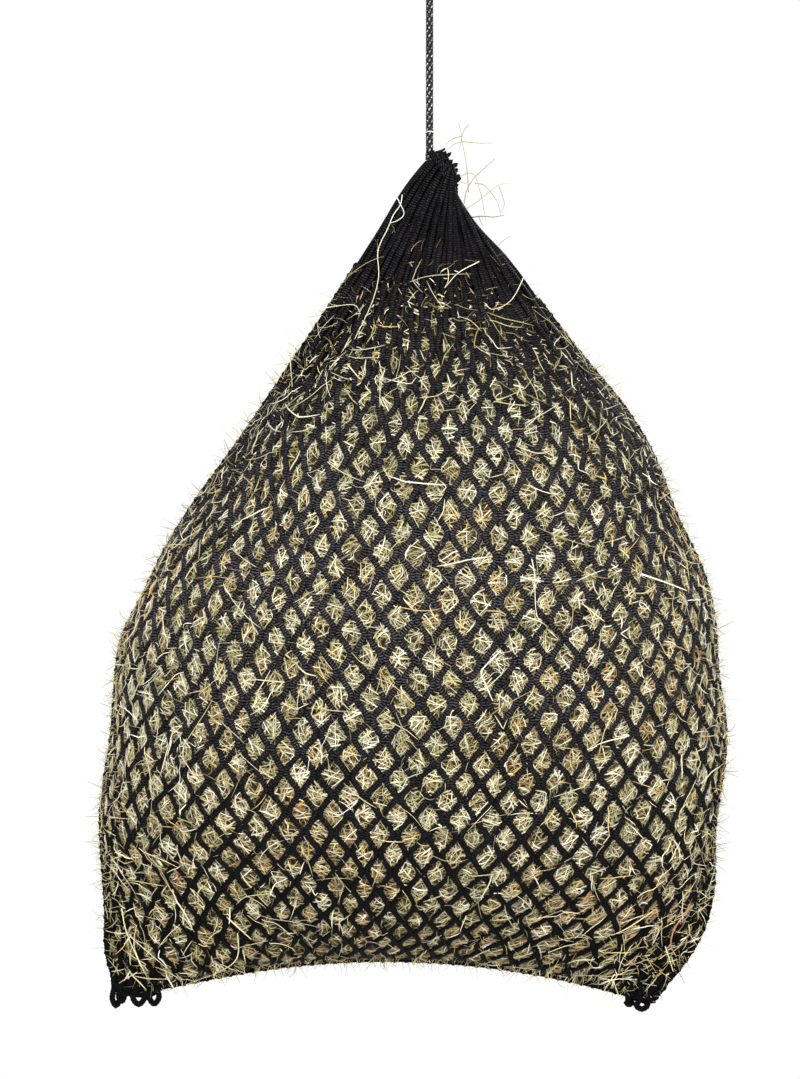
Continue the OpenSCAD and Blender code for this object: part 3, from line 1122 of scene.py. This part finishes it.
mouth_tilt = math.radians(neck[0, 2])
mouth_axis = np.array([math.sin(mouth_tilt), 0, math.cos(mouth_tilt)])
mouth_count = 22
loops = []
for n in range(mouth_count):
    pair = min(n, mouth_count - 1 - n)
    turn = (pair + 0.5 + 0.16 * math.sin(pair * 2.4)) / mouth_count
    at, along, out = rim_frame(turn if n == pair else 1 - turn)
    tall = (8.0 + 1.8 * math.sin(pair * 3.7)) * MM
    wide = 0.8 * MM
    route = [
        at - along * wide - out * 5 * MM, at - along * wide * 1.1 + out * 0.4 * tall,
        at + out * tall + along * 0.6 * MM * math.sin(n * 5.1),
        at + along * wide * 1.1 + out * 0.4 * tall, at + along * wide - out * 5 * MM,
    ]
    loops.append(ribbed_run(spline(route, 6), np.cross(along, out), 2.5 * MM, 2.5 * MM))
mouth = twine_piece("mouth_loops_twine", loops, "mouth_loops")

ring_share = np.linspace(0.02, 0.98, 90)
ring_route, _ = on_net(np.full(90, -0.62), ring_share)
ring_middle = ring_route.mean(axis=0)
ring_route = ring_middle + (ring_route - ring_middle) * 0.75 + mouth_axis * 1.0 * MM
draw = braid_piece(
    "draw_cord_braid", braid(ring_route, 7 * MM, first=mouth_axis), "net", "draw_cord", 2
)

knot_turn = np.linspace(0, 1.7 * TAU, 40)
knot_z = mouth_z - 8 * MM
draw_route = np.stack([
    2.8 * MM + 4.0 * MM * np.cos(knot_turn + 2.2), 4.0 * MM * np.sin(knot_turn + 2.2),
    knot_z + 3.6 * MM - 7.2 * MM * knot_turn / knot_turn[-1],
], axis=1)
draw_knot = braid_piece("draw_knot_wraps", braid(draw_route, 7 * MM), "net", "draw_knot")


def seam(name, row, share, node, width=7.4 * MM):
    """A lacing cord along an edge, with a fine twine wound round it."""
    points, out = on_net(row, share)
    points = even(points + out * 0.6 * MM, rib / 2)
    _, side, other = carried_frame(points, (0, -1, 0.02))
    lead = 13 * MM
    turn = TAU * np.arange(len(points)) * (rib / 2) / lead
    round_it = side * np.cos(turn)[:, None] + other * np.sin(turn)[:, None]
    winding = points + round_it * (width / 2 - 0.2 * MM)
    batches = [
        ribbed_run(points, (0, -1, 0.02), width, width * 0.8),
        tubes(winding[None], round_it[None], 1.6 * MM, 1.1 * MM, 6, ribbed=True),
    ]
    return twine_piece(name, batches, node, 6, paint_seam, "seam_cord")


seam_row = np.linspace(neck_row, rows, 260)
wander = waves(seam_row, 0.0, 81, 1.6 * MM, slow=5) / girth(seam_row)
side_left = seam("side_seam_left_lacing", seam_row, wander, "side_seam_left")
side_right = seam("side_seam_right_lacing", seam_row, 0.5 + wander, "side_seam_right")
seam_share = np.linspace(0.004, 0.496, 260)
bottom = seam("bottom_seam_lacing", np.full(260, float(rows)), seam_share, "bottom_seam")


def ear(name, corner, lobes, inward, node):
    """The loops of twine that hang at a bottom corner. A lobe is (x, drop, half width, lean).
    Above them the corner's meshes are drawn together into a dense bunch."""
    batches = []

    def add(route, up, width, thick):
        route = spline(np.array(route) * MM + corner, 6)
        batches.append(ribbed_run(route, up, width * MM, thick * MM))

    for n in range(7):
        x = inward * (-1 + 4.6 * n)
        y = (-7 if n % 2 else 7) * (1 - 0.5 * (n < 2))
        lean = inward * (2.2 + 0.35 * n) + 2.5 * math.sin(n * 2.3)
        tall = 50 - 2.6 * n + 5 * math.sin(n * 1.9)
        foot = -3 + 0.012 * (n * 4.6) ** 2 + 1.5 * math.sin(n * 2.9)
        add([
            [x, 0.4 * y, foot], [x + 0.3 * lean, 0.8 * y, foot + 0.3 * (tall - foot)],
            [x + 0.4 * lean + 2 * math.sin(n * 4.1), 1.2 * y, foot + 0.65 * (tall - foot)],
            [x + lean, 1.6 * y, tall],
        ], (0, y, 0.01), 7.0, 3.6)
    if inward > 0:
        for n, side in enumerate((1, -1)):
            add([
                [-3, 4 * side, 6], [6, 3 * side, -3 - 3 * n], [16, -3 * side, -6 + 4 * n],
                [27, 3 * side, -7 + 2 * n], [37, 3 * side, -6 + 3 * n], [48, 4 * side, 4],
            ], (0, side, 0.2), 6.4, 3.8)
    for x, low, wide, lean in lobes:
        add([
            [x - 0.35 * wide + lean, -2, 26], [x - 0.6 * wide, -3, 12], [x - 0.5 * wide, -3, 0.1 * low],
            [x - wide, -2, -0.55 * low], [x, 0, -low], [x + wide, 2, -0.55 * low],
            [x + 0.5 * wide, 3, 0.1 * low], [x + 0.6 * wide, 3, 12], [x + 0.35 * wide + lean, 2, 26],
        ], (0.2, -1, 0), 6.9, 5.6)
    return twine_piece(name, batches, node)


left_corner, right_corner = on_net(np.full(2, float(rows)), np.array([0.0, 0.5]))[0]
left_lobes = [
    (-2.5, 18.5, 4.0, 3), (3.5, 14, 3.0, 2), (22.5, 17, 6.4, 0), (39.5, 16.5, 5.2, -3), (31, 9, 3.2, -1),
]
right_lobes = [(-11, 9, 6.4, -2), (-25, 4, 3.2, 2)]
ear_left = ear("corner_loops_left_twine", left_corner, left_lobes, 1, "corner_loops_left")
ear_right = ear("corner_loops_right_twine", right_corner, right_lobes, -1, "corner_loops_right")

# ---------------------------------------------------------------- stray hay at the mouth


def stem(line, half, flat, tone, hue):
    """One stem whose broad side faces the front."""
    up = np.broadcast_to([0.1, -1, 0.1], line.shape)
    values = {"tone": np.array([tone]), "hue": np.array([hue])}
    return tubes(line[None], up[None], half[None], flat * half[None], 5, values)


# Routes in millimetres from the mouth.
stray_routes = [
    [(38, -20, -60), (40, -21, -48), (44, -22, -39), (51, -23, -30), (62, -25, -20), (72, -26, -11)],
    [(43, 6, -46), (41, 8, -18), (36, 10, 10), (35, 10, 19), (32, 11, 31)],
    [(43, 12, 29), (37, 11, 20), (33, 10, 2)],
    [(35, 10, 16), (26, 9, 13), (17, 8, 7)],
    [(36, 10, 10), (27, 9, 7), (19, 8, 0)],
    [(36, 10, 10), (49, 14, 9), (58, 16, 8.5), (70, 17, 9)],
    [(33, -10, -30), (44, -12, -26), (50, -14, -30), (55, -15, -45), (58, -14, -58), (62, -12, -80)],
    [(40, -16, -66), (55, -18, -56), (66, -20, -47), (76, -20, -40), (86, -20, -38)],
    [(50, -4, -37), (60, -6, -39), (67, -8, -47), (73, -10, -55), (76, -11, -63), (78, -12, -72)],
    [(76, -16, -41), (80, -15, -52), (82, -13, -61), (78, -12, -70)],
    [(47, 0, -74), (59, -2, -73), (70, -4, -74), (82, -6, -72)],
    [(54, 4, -72), (56, 6, -78), (60, 6, -84)],
    [(72, 10, -108), (84, 12, -97), (90, 13, -94)],
    [(34, -18, -36), (40, -20, -38), (44, -20, -34)],
]
wisps = []
for n, route in enumerate(stray_routes):
    line = even(spline(np.array(route) * MM + [0, 0, mouth_z], 5), 2 * MM)
    share = np.linspace(0, 1, len(line))
    half = (0.75 - 0.42 * share) * MM * (1.0 if n in (0, 10) else 0.66)
    wisps.append(stem(line, half, 1.0, 0.26 if n == 10 else 0.42, 0.25 + 0.02 * n))
around = np.linspace(-2.4, 2.6, 16)
wrap_z = mouth_z + 19 * MM
wound = np.stack([
    4.7 * MM * np.sin(around), -4.7 * MM * np.cos(around), wrap_z + 1.3 * MM * np.cos(around * 1.4),
], axis=1)
curl = tubes(
    wound[None], unit(wound - [0, 0, wrap_z])[None], 0.6 * MM, 0.4 * MM, 5,
    {"tone": np.array([0.8]), "hue": np.array([0.5])},
)
hay_piece("stray_stems_at_mouth", wisps, "stray_hay")
hay_piece("stem_wound_on_cord", [curl], body="cord")

# Long stems over the front: (x, z) in millimetres, thickness, tone, hue.
front_stems = [
    ([(-30, -326), (-32, -337), (-40, -349), (-46, -364), (-54, -380), (-57, -393), (-56, -419),
      (-64, -449), (-82, -487)], 1.3, 0.82, 0.25),
    ([(-36, -329), (-32, -337), (-28, -348), (-35, -355), (-44, -358)], 1.2, 0.88, 0.3),
    ([(-133, -453), (-86, -448), (-76, -457)], 1.3, 0.85, 0.5),
    ([(-156, -475), (-150, -538)], 1.4, 0.8, 0.62),
    ([(-168, -534), (-157, -507), (-140, -485)], 1.4, 0.82, 0.58),
    ([(54, -401), (31, -414), (16, -431)], 1.2, 0.88, 0.3),
    ([(12, -413), (19, -409), (20, -422), (16, -431)], 1.1, 0.8, 0.5),
    ([(109, -404), (90, -442), (69, -454), (60, -448)], 1.3, 0.85, 0.3),
    ([(228, -742), (252, -750), (279, -760)], 2.2, 0.95, 0.35),
    ([(-89, -515), (-76, -531)], 2.0, 0.75, 0.78),
    ([(108, -725), (111, -743), (113, -784), (125, -798)], 1.1, 0.85, 0.25),
    ([(74, -823), (57, -840), (54, -848), (66, -876)], 1.7, 0.9, 0.3),
    ([(-337, -1108), (-332, -1134), (-316, -1174)], 1.5, 0.82, 0.4),
    ([(-209, -1128), (-210, -1160), (-228, -1177), (-268, -1194)], 1.4, 0.85, 0.45),
    ([(-219, -1115), (-194, -1139)], 1.9, 0.78, 0.8),
    ([(284, -1106), (268, -1130), (264, -1149), (270, -1161)], 2.0, 0.6, 0.97),
    ([(258, -1150), (267, -1178)], 1.3, 0.8, 0.5),
    ([(203, -1181), (190, -1203)], 1.3, 0.8, 0.4),
    ([(201, -1187), (208, -1206)], 1.3, 0.8, 0.4),
]
# The grid's columns over the front, clear of the side edges.
front_grid = grid[:, 12:189]
named = []
for n, (route, thick, tone, hue) in enumerate(front_stems):
    line = even(spline(np.array([(x, 0, z) for x, z in route]) * MM, 6), 3 * MM)
    off = np.linalg.norm(front_grid[None, :, :, ::2] - line[:, None, None, ::2], axis=-1)
    nearest = off.reshape(len(line), -1).argmin(axis=1)
    line[:, 1] = front_grid.reshape(-1, 3)[nearest, 1]
    share = np.linspace(0, 1, len(line))
    line[:, 1] = np.convolve(np.pad(line[:, 1], 4, mode="edge"), np.ones(9) / 9, mode="valid")
    line[:, 1] -= (3.2 + 2.5 * share * math.sin(n * 1.9) ** 2) * MM
    named.append(stem(line, thick / 2 * MM * (1 - 0.5 * share), 0.6, tone, hue))
hay_piece("long_stems_front", named)

# ---------------------------------------------------------------- flat size of the netting

flat_girth = 1.96
strand_w = flat_girth / strand_count
flat_row = 25.5 * MM
# The flat width and length of each gore of netting, and of each half of the bunched neck.
for number, piece in enumerate(net_pieces):
    wide, long = gore * strand_w, (rows - neck_row) * flat_row
for number, piece in enumerate(neck_pieces):
    wide, long = meshes * strand_w, (neck_row + 0.85) * flat_row

# ---------------------------------------------------------------- floor and light


def floor():
    """A plain pale floor under the hanging net."""
    n = 96
    radius = 3.2
    turn = TAU * np.arange(n) / n
    z = cad_box[0][2] - 0.5
    disc = np.stack([radius * np.cos(turn), radius * np.sin(turn), np.full(n, z)], axis=1)
    obj = mesh_object("floor", disc, np.arange(n), np.array([n]))
    p = Paint("floor", Roughness=0.85)
    p.shade(p.ramp(p.noise(60, 2), [(0.3, (0.84, 0.84, 0.84)), (0.7, (0.88, 0.88, 0.88))]))
    obj.data.materials.append(p.material)


floor()

world = bpy.data.worlds.new("studio")
world.use_nodes = True
sky = Nodes(world.node_tree)
# The camera sees plain white, and the light is weaker from below than from above.
seen = sky.tree.nodes["Background"]
soft = sky.node("Background")
for background in (seen, soft):
    background.inputs["Color"].default_value = (1, 1, 1, 1)
height = sky.parts(sky.node("TexCoord").outputs["Generated"])[2]
sky.link(sky.range(height, 0.10, 0.50, start=-0.6, end=0.5), soft.inputs["Strength"])
either = sky.node("MixShader")
sky.link(sky.node("LightPath").outputs["Is Camera Ray"], either.inputs["Fac"])
sky.link(soft.outputs[0], either.inputs[1])
sky.link(seen.outputs[0], either.inputs[2])
sky.link(either.outputs[0], sky.tree.nodes["World Output"].inputs["Surface"])
bpy.context.scene.world = world
bpy.context.scene.view_settings.view_transform = "Standard"


def lamp(name, place, size, power):
    """A soft panel that faces the middle of the net."""
    data = bpy.data.lights.new(name, "AREA")
    data.size = size
    data.energy = power
    obj = bpy.data.objects.new(name, data)
    obj.location = place
    aim = unit(np.array([0, 0, -0.7]) - place)
    obj.rotation_euler = (math.acos(-aim[2]), 0, math.atan2(-aim[0], aim[1]))
    bpy.context.scene.collection.objects.link(obj)


lamp("key", (-0.9, -3.3, 1.2), 1.2, 210)
lamp("fill", (2.4, -2.6, -0.4), 2.0, 80)
lamp("back", (1.0, 3.0, 1.4), 2.0, 150)
